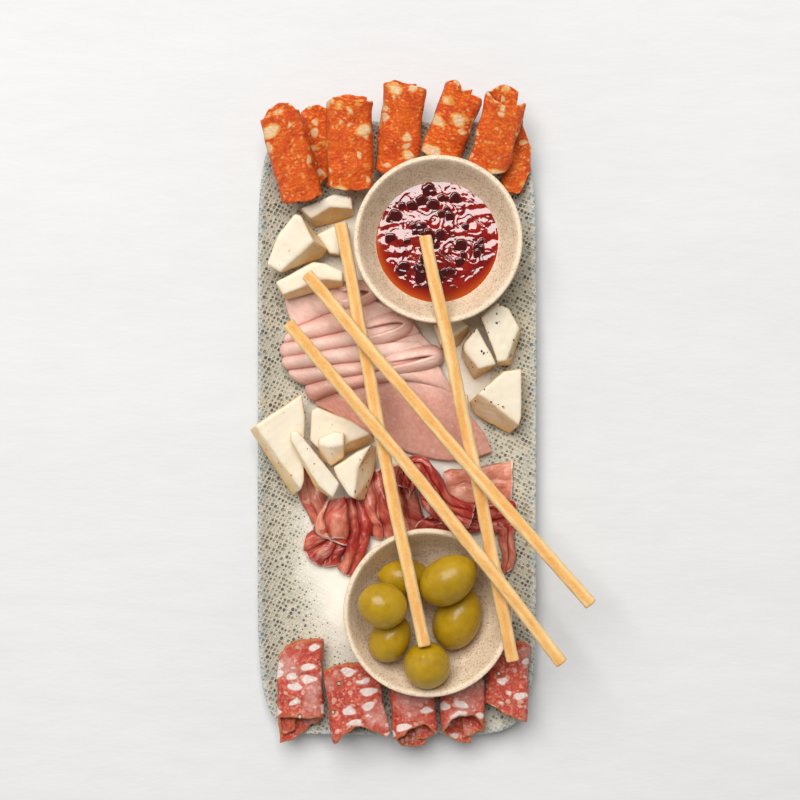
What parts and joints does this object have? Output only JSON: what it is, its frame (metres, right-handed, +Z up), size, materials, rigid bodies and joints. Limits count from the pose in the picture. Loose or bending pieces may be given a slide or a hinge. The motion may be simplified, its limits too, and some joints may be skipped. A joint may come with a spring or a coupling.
{
  "type": "charcuterie board",
  "caption": "Charcuterie board: a long stoneware plate with bowls of jam and olives, rolled and folded cured meats, cheese, ham and crossed breadsticks.",
  "frame": {"origin": "middle of the plate's flat underside, on the table", "axes": "+Y along the plate, from the salami end to the chorizo end; +Z up; +X to the right as seen with the chorizo end away from the viewer"},
  "size_m": [0.1917, 0.3768, 0.0658],
  "materials": {
    "stoneware": "glazed stoneware, cream in the middle, with rows of blue-grey, black and ochre specks towards a pale blue rim",
    "bowl_glaze": "satin beige stoneware with fine brown specks",
    "jam": "wet, glossy dark red jam with fruit in it",
    "olive": "smooth yellow-green olive skin with a soft sheen",
    "chorizo": "orange-red cured sausage with pale pieces of fat",
    "salami": "brick-red salami with white ovals of fat",
    "mortadella": "dusty pink cooked sausage, moist",
    "prosciutto": "thin dark pink ham with white fat",
    "cheese": "ivory cheese with herbs and flakes of spice",
    "breadstick": "dry baked crust, darker along the middle"
  },
  "bodies": {
    "root": {"plate": "stoneware", "jam_bowl": "bowl_glaze", "olive_bowl": "bowl_glaze", "jam": "jam", "olive_back": "olive", "olive_right": "olive", "olive_left_low": "olive", "olive_front": "olive", "olive_top_right": "olive", "olive_left": "olive", "mortadella_front": "mortadella", "mortadella_back": "mortadella", "prosciutto_strip": "prosciutto", "prosciutto_lobe": "prosciutto", "prosciutto_petal": "prosciutto", "prosciutto_middle": "prosciutto", "prosciutto_centre": "prosciutto", "prosciutto_loop": "prosciutto", "prosciutto_right": "prosciutto", "prosciutto_tail": "prosciutto", "cheese_back_under": "cheese", "cheese_back_front": "cheese", "cheese_back_wedge": "cheese", "cheese_back_top": "cheese", "cheese_right_near": "cheese", "cheese_right_small": "cheese", "cheese_right_slab": "cheese", "cheese_right_wedge": "cheese", "cheese_right_crumb": "cheese", "cheese_left_slab": "cheese", "cheese_left_back": "cheese", "cheese_left_corner": "cheese", "cheese_left_small": "cheese", "cheese_left_baton": "cheese", "chorizo_under_left": "chorizo", "chorizo_1": "chorizo", "chorizo_2": "chorizo", "chorizo_3": "chorizo", "chorizo_4": "chorizo", "chorizo_under_right": "chorizo", "chorizo_5": "chorizo", "salami_1": "salami", "salami_2": "salami", "salami_3": "salami", "salami_4": "salami", "salami_5": "salami", "breadstick_low_left": "breadstick", "breadstick_low_right": "breadstick", "breadstick_high_left": "breadstick", "breadstick_high_right": "breadstick"}
  },
  "joints": []
}
